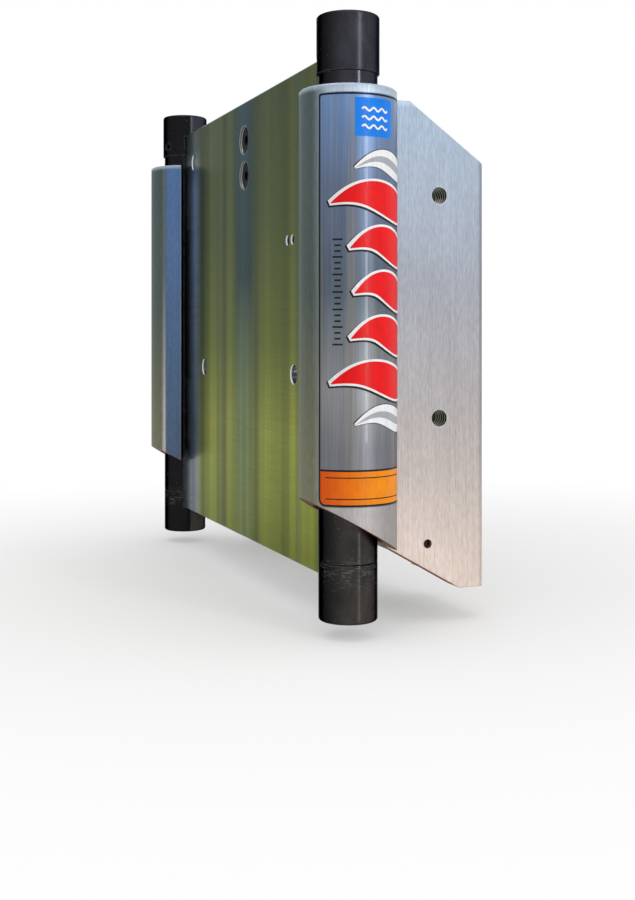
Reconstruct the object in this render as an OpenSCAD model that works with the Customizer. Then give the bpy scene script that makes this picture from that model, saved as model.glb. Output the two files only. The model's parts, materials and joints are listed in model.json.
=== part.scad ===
// Hydraulic jack plate for an outboard motor. Two guide brackets bolt to the transom, a motor plate hangs
// between two slide rods that run in them, and a hydraulic ram lifts the plate. Lengths are millimetres.
// X runs across the boat with starboard positive, Y runs forward to the transom and Z runs up. The origin
// lies on the transom face, midway between the brackets, at the middle of the upper transom bolt pattern.

/* [Motor plate] */
// Height of the motor plate
plate_h = 381; // [366:0.5:396]
// Thickness of the motor plate
plate_t = 12.7; // [11.5:0.1:14]
// Distance between the two upper motor bolts
upper_bolt_span = 327; // [320:0.5:332]
// Distance between the two lower motor bolts
lower_bolt_span = 250.8; // [240:0.2:262]
// Height from the lower motor bolts to the upper ones
bolt_rise = 203.2; // [195:0.2:212]
// Diameter of a motor bolt hole
motor_hole_d = 14.3; // [12:0.1:16]
// Distance from the top edge of the plate down to the upper motor bolts
upper_hole_drop = 31.6; // [26:0.2:38]
// Diameter of a small tapped accessory hole
tapped_hole_d = 6.6; // [4:0.1:7.5]
// Distance between the two accessory holes
tapped_hole_pitch = 11.5; // [10:0.1:14]

/* [Slide rods] */
// Distance between the axes of the two rods
rod_span = 440.8; // [434:0.2:452]
// Diameter of a slide rod
rod_d = 42.2; // [40:0.1:44]
// Depth to which the plate edge enters a rod
seat_depth = 9.1; // [7:0.1:11]
// Diameter of the top collar
collar_d = 45; // [44.5:0.1:48]
// Height of the top collar
collar_h = 41.8; // [38:0.1:46]
// Height of the collar top above the motor plate
collar_rise = 22.3; // [18:0.1:26]
// Height of the end plug at the foot of a rod
plug_h = 41.7; // [38:0.1:46]
// Distance from the foot of the plate down to the foot of the plugs
plug_drop = 25.2; // [20:0.1:30]
// Gap between the collar and the tube below it in the pose shown
rest_gap = 11.6; // [8:0.1:16]

/* [Guide brackets] */
// Distance from the transom face back to the rod axes
rod_reach = 117.8; // [112:0.2:126]
// Height of the bracket top above the upper transom bolt pattern
bracket_top = 84.4; // [78:0.2:90]
// Height of a bracket
bracket_h = 362.5; // [352:0.5:374]
// Wall of the guide tube
tube_wall = 9.4; // [8.6:0.1:10.4]
// Free gap between the motor plate and each lip of the tube slot
slot_gap = 6.6; // [5:0.1:8]
// Distance from the rod axis inboard to the outer face of the web
web_inset = 14.4; // [12:0.1:17]
// Thickness of the web
web_t = 19; // [16:0.1:22]
// Thickness of the transom flange
flange_t = 12.7; // [10:0.1:16]
// Length of the bevel at the top of the web
bevel_l = 62.3; // [56:0.1:68]
// Height lost by the bevel at the transom
bevel_drop = 44.6; // [38:0.1:50]
// Length of the flat foot at the bottom of the web
foot_l = 21.3; // [16:0.1:26]
// Slope of the undercut below the guide tube, in degrees
undercut = 29.7; // [27:0.1:32]
// Diameter of a transom bolt hole
transom_hole_d = 13.5; // [11:0.1:15]
// Distance between the two heights of each transom bolt
transom_hole_pitch = 25.4; // [22:0.1:30]
// Diameter of a side hole in the web
side_hole_d = 12.7; // [9:0.1:15]
// Distance between the upper and lower side holes
side_hole_pitch = 166.1; // [155:0.1:172]
// Length of a guide bushing
bushing_l = 63.5; // [54:0.5:72]
// Wall of a guide bushing
bushing_wall = 4.25; // [3:0.05:5]
// Running clearance of the rod in its bushings
rod_clear = 0.08; // [0.04:0.01:0.1]

/* [Lower beam] */
// Distance from the transom face back to the middle of the beam and to the ram
beam_reach = 47.6; // [45:0.1:51]
// Width of the beam, fore and aft
beam_w = 40; // [36:0.2:44]
// Height of the beam
beam_h = 30; // [26:0.2:33]
// Height of the beam above the foot of the brackets
beam_lift = 27.1; // [26:0.1:32]
// Height of the upright ears at the beam ends above the beam
beam_ear_h = 38; // [34:0.2:42]
// Thickness of the upright ears at the beam ends
beam_ear_t = 12.7; // [10:0.1:15]

/* [Hydraulic ram] */
// Outer diameter of the barrel
barrel_d = 47.6; // [46:0.1:50]
// Bore of the barrel
bore_d = 38.1; // [36:0.1:40]
// Diameter of the ram rod
ram_rod_d = 22.2; // [20:0.1:24]
// Diameter of the two ram pins
pin_d = 15.9; // [14:0.1:18]
// Width of the ram eyes
eye_w = 25.4; // [22:0.1:28]
// Thickness of each ear that holds a ram pin
ear_t = 10; // [8:0.1:12]
// Distance from the top edge of the motor plate down to the lift pin
lift_pin_drop = 45.9; // [43:0.1:49]
// Running clearance inside the ram
ram_clear = 0.05; // [0.02:0.01:0.09]

/* [Hidden] */
$fn = 96;

// Overrun of a cut past the face that it opens
cut = 1;
// Clearance of a seated or screwed joint
seat_clear = 0.1;
// Bevel on machined edges
edge = 1;
// Depth to which shapes of one piece run into each other
lap = 1;
// Room past the end of a screw, pin or spigot in its hole
end_room = 1;
// Starboard and port as signs of X
sides = [1, -1];

// Heights of the moving carriage, worked out from the tube top
rod_x = rod_span / 2;
rod_y = -rod_reach;
rod_r = rod_d / 2;
collar_base = bracket_top + rest_gap;
plate_top = collar_base + collar_h - collar_rise;
plate_bottom = plate_top - plate_h;
plate_mid = (plate_top + plate_bottom) / 2;
plug_bottom = plate_bottom - plug_drop;
plug_top = plug_bottom + plug_h;

// Motor plate and its holes
plate_front = rod_y + plate_t / 2;
plate_back = rod_y - plate_t / 2;
plate_half_w = rod_x - rod_r + seat_depth;
upper_hole_z = plate_top - upper_hole_drop;
lower_hole_z = upper_hole_z - bolt_rise;
hole_bevel = 0.8;
tapped_hole_x_share = 0.889;
tapped_hole_z_share = 0.52;
tapped_hole_x = lower_bolt_span / 2 * tapped_hole_x_share;
tapped_hole_z = lower_hole_z + bolt_rise * tapped_hole_z_share;

// Spigots at the rod ends, the rounding of the collars and plugs that sit on them, and the bevel at the seams
spigot_r = 15;
spigot_l = 31;
collar_round = 2.2;
plug_round = 2;
seam_bevel = 0.6;

// Screws that hold the plate edges in the rods
edge_screw_d = 7.9;
edge_screw_head_d = 12.7;
edge_screw_head_h = 7.9;
edge_screw_grip = 22;
edge_screw_count = 5;
edge_screw_share = 0.58;
edge_screw_pitch = plate_h * edge_screw_share / (edge_screw_count - 1);
edge_screw_zs = [
  for (i = [0 : edge_screw_count - 1]) plate_mid + (i - (edge_screw_count - 1) / 2) * edge_screw_pitch
];

// Grub screws that lock the collars and plugs on their spigots, and the turn of each from straight aft
grub_d = 8;
grub_bite = 2;
grub_recess = 1.2;
bushing_grub_recess = 1;
collar_grub_turn = -24;
plug_grub_turn = 180;
collar_grub_z = (collar_base + plate_top) / 2;
plug_grub_z = (plug_top + plate_bottom) / 2;

// Bracket outline
bracket_bottom = bracket_top - bracket_h;
tube_bore_r = rod_r + rod_clear + bushing_wall + seat_clear / 2;
tube_r = tube_bore_r + tube_wall;
slot_half = plate_t / 2 + slot_gap;
web_outer_x = rod_x - web_inset;
web_inner_x = web_outer_x - web_t;
web_mid_x = (web_outer_x + web_inner_x) / 2;
bolt_edge = 20.4;
flange_inner_x = lower_bolt_span / 2 - bolt_edge;
tube_fillet_r = 5;
corner_fillet_r = 8;
transom_corner_r = 5;
tube_chamfer = 1.2;
side_hole_drop = 68.8;
side_hole_reach = 37.9;

// Guide bushings and their grub screws
bushing_inset = 0.2;
lower_bushing_rise = 6;
undercut_back = bracket_bottom + (rod_reach + tube_r - foot_l) * tan(undercut);
upper_bushing_z = bracket_top - bushing_inset - bushing_l;
lower_bushing_z = undercut_back + lower_bushing_rise;
bushing_grub_zs = [upper_bushing_z + bushing_l / 2, lower_bushing_z + bushing_l / 2];

// Lower beam, its screws and its locating pins
beam_y = -beam_reach;
beam_bottom = bracket_bottom + beam_lift;
beam_top = beam_bottom + beam_h;
ear_fillet_r = 4;
beam_screw_d = 9.5;
beam_screw_head_d = 14.3;
beam_screw_head_h = 9.5;
beam_screw_grip = 12.7;
beam_screw_edge = 10;
beam_screw_rise = 12;
beam_screw_ys = [beam_y - beam_w / 2 + beam_screw_edge, beam_y + beam_w / 2 - beam_screw_edge];
beam_screw_zs = [beam_top + beam_screw_rise, beam_top + beam_ear_h - beam_screw_edge];
locating_pin_d = 6.4;
locating_hole_d = 6.5;
locating_pin_rise = 7.3;
locating_pin_recess = 4;
locating_pin_bite = 20;

// Ram eyes, pins and clips
pin_r = pin_d / 2;
eye_wall = 7;
eye_r = pin_r + eye_wall;
ear_clear = 0.3;
ear_inner_x = eye_w / 2 + ear_clear;
ear_outer_x = ear_inner_x + ear_t;
pin_groove = 1.2;
pin_end = 3;
clip_t = 1.6;
clip_rim = 3;
clip_gap = 5;
pin_half_l = ear_outer_x + ear_clear + clip_t + pin_end;

// Base clevis on the beam
clevis_base_t = 8;
clevis_screw_d = 7.9;
clevis_screw_head_d = 12.7;
clevis_screw_head_h = 7.9;
clevis_screw_grip = 16;
clevis_screw_edge = 8.5;
clevis_eye_gap = 3;
clevis_half_l = ear_outer_x + 2 * clevis_screw_edge;
clevis_screw_x = clevis_half_l - clevis_screw_edge;
clevis_screw_ys = [beam_y - beam_w / 2 + clevis_screw_edge, beam_y + beam_w / 2 - clevis_screw_edge];
base_pin_z = beam_top + clevis_base_t + clevis_eye_gap + eye_r;

// Ram barrel between its base cap and its gland
ram_y = beam_y;
barrel_r = barrel_d / 2;
bore_r = bore_d / 2;
ram_rod_r = ram_rod_d / 2;
cap_gap = 1.3;
cap_disc_h = 12;
cap_spigot_l = 6;
cap_bottom = base_pin_z + eye_r + cap_gap;
barrel_bottom = cap_bottom + cap_disc_h;
lift_pin_z = plate_top - lift_pin_drop;
rod_boss_r = eye_w / 2;
rod_boss_h = 10;
rod_tip_r = 8;
rod_tip_l = 11;
boss_bottom = lift_pin_z - eye_r - rod_boss_h;
gland_flange_h = 8;
gland_insert_l = 19;
gland_gap = 3;
gland_top = boss_bottom - rest_gap - gland_gap;
barrel_top = gland_top - gland_flange_h;
seal_h = 5;
seal_depth = 4;
wrench_hole_r = 2.5;
wrench_hole_l = 5;

// Piston, which stands off the base cap by its end gap when the carriage is right down
piston_h = 20;
piston_gap = 2;
piston_bottom = barrel_bottom + cap_spigot_l + piston_gap + rest_gap;
piston_top = piston_bottom + piston_h;
piston_thread_r = 7;
nut_af = 21;
nut_h = 8;
nut_room = 1;

// Hose ports on the barrel
port_r = 3;
port_thread_r = 5;
port_thread_l = 6;
port_boss_r = 9;
port_boss_l = 9;
port_hex_af = 14;
port_hex_h = 6;
port_tail_r = 5.5;
port_tail_l = 13;
port_zs = [barrel_bottom + port_boss_r + seat_clear, barrel_top - gland_insert_l - port_r];

// Lift bracket on the front of the motor plate, and its two flat head screws
lift_base_t = 12;
lift_base_half_w = 38;
lift_base_h = 73;
lift_base_drop = 12.5;
lift_base_z = plate_top - lift_base_drop - lift_base_h;
lift_screw_r = 6.35;
lift_screw_drop = 33.2;
lift_screw_pitch = 31;
lift_screw_end = 1;
lift_head_r = 12.7;
lift_head_recess = 1.8;
lift_head_clear = 0.3;
countersink = 82;
lift_socket_af = 8;
lift_socket_depth = 4;
lift_screw_zs = [plate_top - lift_screw_drop, plate_top - lift_screw_drop - lift_screw_pitch];

// A bar of radius r and length l along X, centred on the present point
module x_bar(r, l) rotate([0, 90, 0]) cylinder(h = l, r = r, center = true);

// A bar of radius r that runs the length l forward along Y from the present point
module y_bar(r, l) rotate([-90, 0, 0]) cylinder(h = l, r = r);

// A hexagon bar across flats af and of length l that stands on the present point
module hex_bar(af, l) cylinder(h = l, r = af / sqrt(3), $fn = 6);

// A ring that stands on the present point
module ring(outer, inner, h) {
  difference() {
    cylinder(h = h, r = outer);
    translate([0, 0, -cut]) cylinder(h = h + 2 * cut, r = inner);
  }
}

// A cylinder with a rounded top rim and a bevelled bottom rim
module rounded_bar(r, h, round_r) {
  rotate_extrude() {
    polygon([[0, 0], [r - seam_bevel, 0], [r, seam_bevel], [r, h - round_r], [0, h - round_r]]);
    square([r - round_r, h]);
    translate([r - round_r, h - round_r]) circle(r = round_r);
  }
}

// Children as drawn for starboard, or their mirror image for port
module on_side(side) {
  if (side > 0) children();
  else mirror([1, 0, 0]) children();
}

// A cap screw with a hexagon socket: its head stands on the present point and its shank hangs below
module cap_screw(d, head_d, head_h, grip) {
  difference() {
    union() {
      cylinder(h = head_h, r = head_d / 2);
      translate([0, 0, -grip]) cylinder(h = grip + head_h / 2, r = d / 2);
    }
    translate([0, 0, head_h / 2]) hex_bar(head_d / 2, head_h);
  }
}

// A grub screw that hangs below the present point, with a hexagon socket in its upper end
module grub_screw(d, l) {
  difference() {
    translate([0, 0, -l]) cylinder(h = l, r = d / 2);
    translate([0, 0, -l / 3]) hex_bar(d / 2, l);
  }
}

// Guide bracket seen along Z: slotted guide tube, web and transom flange
module bracket_section() {
  difference() {
    union() {
      translate([rod_x, rod_y]) circle(r = tube_r);
      translate([web_inner_x, rod_y + slot_half]) square([web_t, rod_reach - slot_half - transom_corner_r]);
      difference() {
        translate([flange_inner_x, -flange_t]) square([web_outer_x - flange_inner_x, flange_t]);
        translate([web_outer_x - transom_corner_r, -transom_corner_r])
          square([transom_corner_r + cut, transom_corner_r + cut]);
      }
      translate([web_outer_x - transom_corner_r, -transom_corner_r]) circle(r = transom_corner_r);
      difference() {
        translate([web_inner_x - corner_fillet_r, -flange_t - corner_fillet_r])
          square([corner_fillet_r + lap, corner_fillet_r + lap]);
        translate([web_inner_x - corner_fillet_r, -flange_t - corner_fillet_r]) circle(r = corner_fillet_r);
      }
    }
    translate([rod_x, rod_y]) circle(r = tube_bore_r);
    translate([rod_x - tube_r - cut, rod_y - slot_half]) square([tube_r + cut, 2 * slot_half]);
  }
}

// Hollow fillet between the guide tube and the outer face of the web
module tube_fillet() {
  x = tube_fillet_r - web_inset;
  y = sqrt(pow(tube_r + tube_fillet_r, 2) - pow(x, 2));
  inset = (tube_r - lap) / (tube_r + tube_fillet_r);
  translate([rod_x, rod_y, bracket_bottom]) difference() {
    linear_extrude(height = bracket_h) polygon([
      [-web_inset - lap, y],
      [x, y],
      [x * inset, y * inset],
      [-web_inset - lap, tube_bore_r]
    ]);
    translate([x, y, -cut]) cylinder(h = bracket_h + 2 * cut, r = tube_fillet_r);
  }
}

// Guide bracket seen along X: square top, bevel to the transom, flat foot and slanted undercut
module bracket_profile() {
  back = rod_reach + tube_r + cut;
  polygon([
    [cut, bracket_bottom],
    [cut, bracket_top - bevel_drop],
    [0, bracket_top - bevel_drop],
    [-bevel_l, bracket_top],
    [-back, bracket_top],
    [-back, bracket_bottom + (back - foot_l) * tan(undercut)],
    [-foot_l, bracket_bottom]
  ]);
}

// What the chamfer takes off the top rim of the guide tube, clear of the web
module tube_rim_waste() {
  h = tube_chamfer + cut;
  translate([rod_x, rod_y, bracket_top - tube_chamfer]) difference() {
    union() {
      translate([-2 * tube_r, -2 * tube_r, 0]) cube([4 * tube_r, 2 * tube_r + slot_half, h]);
      cube([2 * tube_r, 2 * tube_r, h]);
    }
    translate([0, 0, -cut]) cylinder(h = h + 2 * cut, r1 = tube_r + cut, r2 = tube_r - h - cut);
  }
}

// Transom bolt holes, side holes and locating pin hole of a bracket
module bracket_holes() {
  for (z = [-transom_hole_pitch / 2, transom_hole_pitch / 2]) {
    translate([upper_bolt_span / 2, -flange_t - cut, z]) y_bar(transom_hole_d / 2, flange_t + 2 * cut);
    translate([lower_bolt_span / 2, -flange_t - cut, z - bolt_rise])
      y_bar(transom_hole_d / 2, flange_t + 2 * cut);
  }
  for (drop = [side_hole_drop, side_hole_drop + side_hole_pitch])
    translate([web_mid_x, -side_hole_reach, bracket_top - drop]) x_bar(side_hole_d / 2, web_t + 2 * cut);
  translate([web_mid_x, beam_y, beam_bottom + locating_pin_rise])
    x_bar(locating_hole_d / 2, web_t + 2 * cut);
  for (y = beam_screw_ys, z = beam_screw_zs)
    translate([web_inner_x, y, z]) x_bar(beam_screw_d / 2 + seat_clear, 2 * (beam_screw_grip + end_room));
  for (z = bushing_grub_zs)
    translate([rod_x, rod_y + tube_bore_r - cut, z]) y_bar(grub_d / 2 + seat_clear, tube_wall + 2 * cut);
}

module guide_bracket(side) {
  color("lightsteelblue") on_side(side) difference() {
    intersection() {
      union() {
        translate([0, 0, bracket_bottom]) linear_extrude(height = bracket_h) bracket_section();
        tube_fillet();
      }
      rotate([90, 0, 90]) linear_extrude(height = rod_x + 2 * tube_r) bracket_profile();
    }
    tube_rim_waste();
    bracket_holes();
  }
}

// Split bushing that stands at height z in a guide tube
module guide_bushing(side, z) {
  color("ivory") on_side(side) translate([rod_x, rod_y, z]) difference() {
    ring(rod_r + rod_clear + bushing_wall, rod_r + rod_clear, bushing_l);
    translate([-tube_r, -slot_half, -cut]) cube([tube_r, 2 * slot_half, bushing_l + 2 * cut]);
    translate([0, tube_bore_r - grub_bite, bushing_l / 2]) y_bar(grub_d / 2 + seat_clear, grub_bite + cut);
  }
}

module bushing_set_screws() {
  color("dimgray") for (side = sides, z = bushing_grub_zs)
    on_side(side) translate([rod_x, rod_y + tube_r - bushing_grub_recess, z]) rotate([-90, 0, 0])
      grub_screw(grub_d, tube_wall + grub_bite - bushing_grub_recess - seat_clear);
}

// Beam seen along Y: a bar with an upright ear at each end
module beam_section() {
  window_half = web_inner_x - beam_ear_t;
  difference() {
    translate([-web_inner_x, beam_bottom]) square([2 * web_inner_x, beam_h + beam_ear_h]);
    translate([-window_half, beam_top + ear_fillet_r]) square([2 * window_half, beam_ear_h]);
    translate([-window_half + ear_fillet_r, beam_top])
      square([2 * (window_half - ear_fillet_r), beam_ear_h]);
    for (side = sides)
      translate([side * (window_half - ear_fillet_r), beam_top + ear_fillet_r]) circle(r = ear_fillet_r);
  }
}

module lower_cross_beam() {
  color("silver") difference() {
    translate([0, beam_y + beam_w / 2, 0]) rotate([90, 0, 0])
      linear_extrude(height = beam_w) beam_section();
    for (side = sides) {
      for (y = beam_screw_ys, z = beam_screw_zs)
        translate([side * web_inner_x, y, z]) x_bar(beam_screw_d / 2 + seat_clear, 2 * (beam_ear_t + cut));
      translate([side * web_inner_x, beam_y, beam_bottom + locating_pin_rise])
        x_bar(locating_hole_d / 2, 2 * (locating_pin_bite + end_room));
      for (y = clevis_screw_ys)
        translate([side * clevis_screw_x, y, beam_top - clevis_screw_grip - end_room])
          cylinder(h = clevis_screw_grip + end_room + cut, r = clevis_screw_d / 2 + seat_clear);
    }
  }
}

module beam_screws() {
  color("dimgray") for (side = sides, y = beam_screw_ys, z = beam_screw_zs)
    on_side(side) translate([web_inner_x - beam_ear_t, y, z]) rotate([0, -90, 0])
      cap_screw(beam_screw_d, beam_screw_head_d, beam_screw_head_h, beam_ear_t + beam_screw_grip);
}

module beam_locating_pins() {
  pin_l = web_t - locating_pin_recess + locating_pin_bite;
  color("gray") for (side = sides)
    on_side(side)
      translate([web_outer_x - locating_pin_recess - pin_l / 2, beam_y, beam_bottom + locating_pin_rise])
        x_bar(locating_pin_d / 2, pin_l);
}

module base_clevis() {
  color("gray") translate([0, ram_y, 0]) difference() {
    union() {
      translate([-clevis_half_l, -beam_w / 2, beam_top])
        cube([2 * clevis_half_l, beam_w, clevis_base_t]);
      for (side = sides)
        translate([side * (ear_inner_x + ear_outer_x) / 2, 0, 0]) {
          translate([0, 0, base_pin_z]) x_bar(eye_r, ear_t);
          translate([-ear_t / 2, -eye_r, beam_top]) cube([ear_t, 2 * eye_r, base_pin_z - beam_top]);
        }
    }
    translate([0, 0, base_pin_z]) x_bar(pin_r + seat_clear / 2, 2 * (ear_outer_x + cut));
    for (side = sides, y = clevis_screw_ys)
      translate([side * clevis_screw_x, y - ram_y, beam_top - cut])
        cylinder(h = clevis_base_t + 2 * cut, r = clevis_screw_d / 2 + seat_clear);
  }
}

module base_clevis_screws() {
  color("dimgray") for (side = sides, y = clevis_screw_ys)
    translate([side * clevis_screw_x, y, beam_top + clevis_base_t])
      cap_screw(clevis_screw_d, clevis_screw_head_d, clevis_screw_head_h,
        clevis_base_t + clevis_screw_grip);
}

// Clevis pin at height z through a ram eye, with a groove near each end
module ram_pin(z) {
  color("silver") translate([0, ram_y, z]) difference() {
    x_bar(pin_r, 2 * pin_half_l);
    for (side = sides)
      translate([side * (ear_outer_x + ear_clear + clip_t / 2), 0, 0]) rotate([0, 90, 0])
        translate([0, 0, -(clip_t + seat_clear) / 2])
          ring(pin_r + cut, pin_r - pin_groove, clip_t + seat_clear);
  }
}

// Pair of open spring clips in the grooves of the pin at height z
module pin_clips(z) {
  inner = pin_r - pin_groove + seat_clear / 2;
  color("dimgray") for (side = sides)
    translate([side * (ear_outer_x + ear_clear + clip_t / 2), ram_y, z]) difference() {
      rotate([0, 90, 0]) translate([0, 0, -clip_t / 2]) ring(pin_r + clip_rim, inner, clip_t);
      translate([-clip_t, -clip_gap / 2, -pin_d]) cube([2 * clip_t, clip_gap, pin_d]);
    }
}

// Eye for a ram pin at height z with its neck, which runs to the height top above the pin or below it
module ram_eye(z, top) {
  translate([0, 0, z]) x_bar(eye_r, eye_w);
  translate([-eye_w / 2, -eye_r, min(z, top)]) cube([eye_w, 2 * eye_r, abs(top - z)]);
}

module ram_base_cap() {
  color("dimgray") translate([0, ram_y, 0]) difference() {
    union() {
      ram_eye(base_pin_z, cap_bottom + cap_disc_h / 2);
      translate([0, 0, cap_bottom]) cylinder(h = cap_disc_h, r = barrel_r);
      translate([0, 0, barrel_bottom - lap])
        cylinder(h = cap_spigot_l + lap, r = bore_r - seat_clear / 2);
    }
    translate([0, 0, base_pin_z]) x_bar(pin_r + seat_clear / 2, eye_w + 2 * cut);
  }
}

module ram_barrel() {
  color("black") translate([0, ram_y, 0]) difference() {
    union() {
      translate([0, 0, barrel_bottom]) cylinder(h = barrel_top - barrel_bottom, r = barrel_r);
      for (z = port_zs)
        translate([(barrel_r + port_boss_l) / 2, 0, z]) x_bar(port_boss_r, barrel_r + port_boss_l);
    }
    translate([0, 0, barrel_bottom - cut]) cylinder(h = barrel_top - barrel_bottom + 2 * cut, r = bore_r);
    for (z = port_zs) {
      translate([(barrel_r + port_boss_l) / 2, 0, z]) x_bar(port_r, barrel_r + port_boss_l + cut);
      translate([barrel_r + port_boss_l, 0, z]) x_bar(port_thread_r, 2 * port_thread_l);
    }
  }
}

module port_adapters() {
  color("goldenrod") for (z = port_zs)
    translate([barrel_r + port_boss_l, ram_y, z]) rotate([0, 90, 0]) difference() {
      union() {
        translate([0, 0, -port_thread_l + end_room])
          cylinder(h = port_thread_l + port_hex_h, r = port_thread_r - seat_clear / 2);
        hex_bar(port_hex_af, port_hex_h);
        cylinder(h = port_hex_h + port_tail_l, r = port_tail_r);
      }
      translate([0, 0, -port_thread_l - cut])
        cylinder(h = port_thread_l + port_hex_h + port_tail_l + 2 * cut, r = port_r);
    }
}

module ram_gland() {
  color("gray") translate([0, ram_y, barrel_top]) difference() {
    union() {
      cylinder(h = gland_flange_h, r = barrel_r);
      translate([0, 0, -gland_insert_l])
        cylinder(h = gland_insert_l + lap, r = bore_r - seat_clear / 2);
    }
    translate([0, 0, -gland_insert_l - cut])
      cylinder(h = gland_insert_l + gland_flange_h + 2 * cut, r = ram_rod_r + ram_clear);
    translate([0, 0, gland_flange_h - seal_h])
      cylinder(h = seal_h + cut, r = ram_rod_r + seal_depth);
    translate([0, 0, -gland_insert_l / 2])
      cylinder(h = seal_h, r = ram_rod_r + seal_depth);
    for (turn = [0 : 90 : 270])
      rotate([0, 0, turn])
        translate([(barrel_r + ram_rod_r + seal_depth) / 2, 0, gland_flange_h - wrench_hole_l])
          cylinder(h = wrench_hole_l + cut, r = wrench_hole_r);
  }
}

module gland_seals() {
  outer = ram_rod_r + seal_depth - seat_clear / 2;
  color("black") for (z = [gland_flange_h - seal_h, -gland_insert_l / 2])
    translate([0, ram_y, barrel_top + z + seat_clear / 2])
      ring(outer, ram_rod_r + ram_clear, seal_h - seat_clear);
}

// Space that the plate edge fills in a rod, collar or plug, with the gap round it
module plate_slot(gap) {
  translate([0, plate_back - gap, plate_bottom - gap])
    cube([plate_half_w, plate_t + 2 * gap, plate_h + 2 * gap]);
}

// Straight hole through the motor plate, bevelled on the back face
module plate_hole(x, z, r) {
  translate([x, plate_back - cut, z]) y_bar(r, plate_t + 2 * cut);
  translate([x, plate_back - cut, z]) rotate([-90, 0, 0])
    cylinder(h = hole_bevel + cut, r1 = r + hole_bevel + cut, r2 = r);
}

// Flat head of radius r that narrows to a shank, from its outer face forward
module flat_head(r, shank_r) {
  rotate([-90, 0, 0]) cylinder(h = (r - shank_r) / tan(countersink / 2), r1 = r, r2 = shank_r);
}

module motor_plate() {
  color("darkkhaki") difference() {
    rotate([90, 0, 90]) translate([0, 0, -plate_half_w])
      linear_extrude(height = 2 * plate_half_w) polygon([
        [plate_back, plate_bottom + edge],
        [plate_back + edge, plate_bottom],
        [plate_front - edge, plate_bottom],
        [plate_front, plate_bottom + edge],
        [plate_front, plate_top - edge],
        [plate_front - edge, plate_top],
        [plate_back + edge, plate_top],
        [plate_back, plate_top - edge]
      ]);
    for (side = sides) {
      plate_hole(side * upper_bolt_span / 2, upper_hole_z, motor_hole_d / 2);
      plate_hole(side * lower_bolt_span / 2, lower_hole_z, motor_hole_d / 2);
      for (z = edge_screw_zs)
        translate([side * plate_half_w, rod_y, z])
          x_bar(edge_screw_d / 2 + seat_clear, 2 * (edge_screw_grip + end_room));
    }
    for (x = [tapped_hole_x, tapped_hole_x + tapped_hole_pitch])
      plate_hole(x, tapped_hole_z, tapped_hole_d / 2);
    for (z = lift_screw_zs) {
      translate([0, plate_back - cut, z]) y_bar(lift_head_r, lift_head_recess + cut);
      translate([0, plate_back + lift_head_recess, z]) flat_head(lift_head_r, lift_screw_r + seat_clear);
      translate([0, plate_back, z]) y_bar(lift_screw_r + seat_clear, plate_t + cut);
    }
  }
}

// Hole for a grub screw that enters a rod end from the side, turned from straight aft
module grub_hole(z, turn) {
  translate([rod_x, rod_y, z]) rotate([0, 0, turn]) rotate([90, 0, 0])
    translate([0, 0, spigot_r - grub_bite]) cylinder(h = rod_r, r = grub_d / 2 + seat_clear);
}

module slide_rod(side) {
  color("black") on_side(side) difference() {
    union() {
      translate([rod_x, rod_y, plug_top]) cylinder(h = seam_bevel, r1 = rod_r - seam_bevel, r2 = rod_r);
      translate([rod_x, rod_y, plug_top + seam_bevel])
        cylinder(h = collar_base - plug_top - seam_bevel, r = rod_r);
      translate([rod_x, rod_y, plug_top - spigot_l])
        cylinder(h = collar_base - plug_top + 2 * spigot_l, r = spigot_r);
    }
    plate_slot(seat_clear);
    for (z = edge_screw_zs) {
      translate([rod_x, rod_y, z]) x_bar(edge_screw_d / 2 + seat_clear, rod_d);
      translate([rod_x + rod_r / 2 + cut / 2, rod_y, z])
        x_bar(edge_screw_head_d / 2 + seat_clear, rod_r + cut);
    }
    grub_hole(collar_grub_z, collar_grub_turn);
    grub_hole(plug_grub_z, plug_grub_turn);
  }
}

module plate_edge_screws() {
  color("dimgray") for (side = sides, z = edge_screw_zs)
    on_side(side) translate([rod_x, rod_y, z]) rotate([0, 90, 0])
      cap_screw(edge_screw_d, edge_screw_head_d, edge_screw_head_h,
        rod_x - plate_half_w + edge_screw_grip);
}

module top_collar(side) {
  color("black") on_side(side) difference() {
    translate([rod_x, rod_y, collar_base]) difference() {
      rounded_bar(collar_d / 2, collar_h, collar_round);
      translate([0, 0, -cut])
        cylinder(h = spigot_l + end_room + cut, r = spigot_r + seat_clear / 2);
    }
    plate_slot(seat_clear);
    grub_hole(collar_grub_z, collar_grub_turn);
  }
}

module rod_end_plug(side) {
  color("black") on_side(side) difference() {
    translate([rod_x, rod_y, plug_top]) mirror([0, 0, 1]) difference() {
      rounded_bar(rod_r, plug_h, plug_round);
      translate([0, 0, -cut])
        cylinder(h = spigot_l + end_room + cut, r = spigot_r + seat_clear / 2);
    }
    plate_slot(seat_clear);
    grub_hole(plug_grub_z, plug_grub_turn);
  }
}

// Grub screws for both rods at height z, sunk below an outer surface of radius r
module rod_end_screws(z, turn, r) {
  screw_l = r - grub_recess - spigot_r + grub_bite - seat_clear;
  color("dimgray") for (side = sides)
    on_side(side) translate([rod_x, rod_y, z]) rotate([0, 0, turn]) rotate([90, 0, 0])
      translate([0, 0, r - grub_recess]) grub_screw(grub_d, screw_l);
}

module collar_set_screws() rod_end_screws(collar_grub_z, collar_grub_turn, collar_d / 2);

module plug_set_screws() rod_end_screws(plug_grub_z, plug_grub_turn, rod_r);

// Point where a straight line from p touches a circle of centre c and radius r, on the side given by turn
function touch_point(p, c, r, turn) =
  let (
    d = c - p,
    run = sqrt(pow(norm(d), 2) - pow(r, 2)),
    aim = atan2(d[1], d[0]) + turn * asin(r / norm(d))
  )
  p + run * [cos(aim), sin(aim)];

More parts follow.
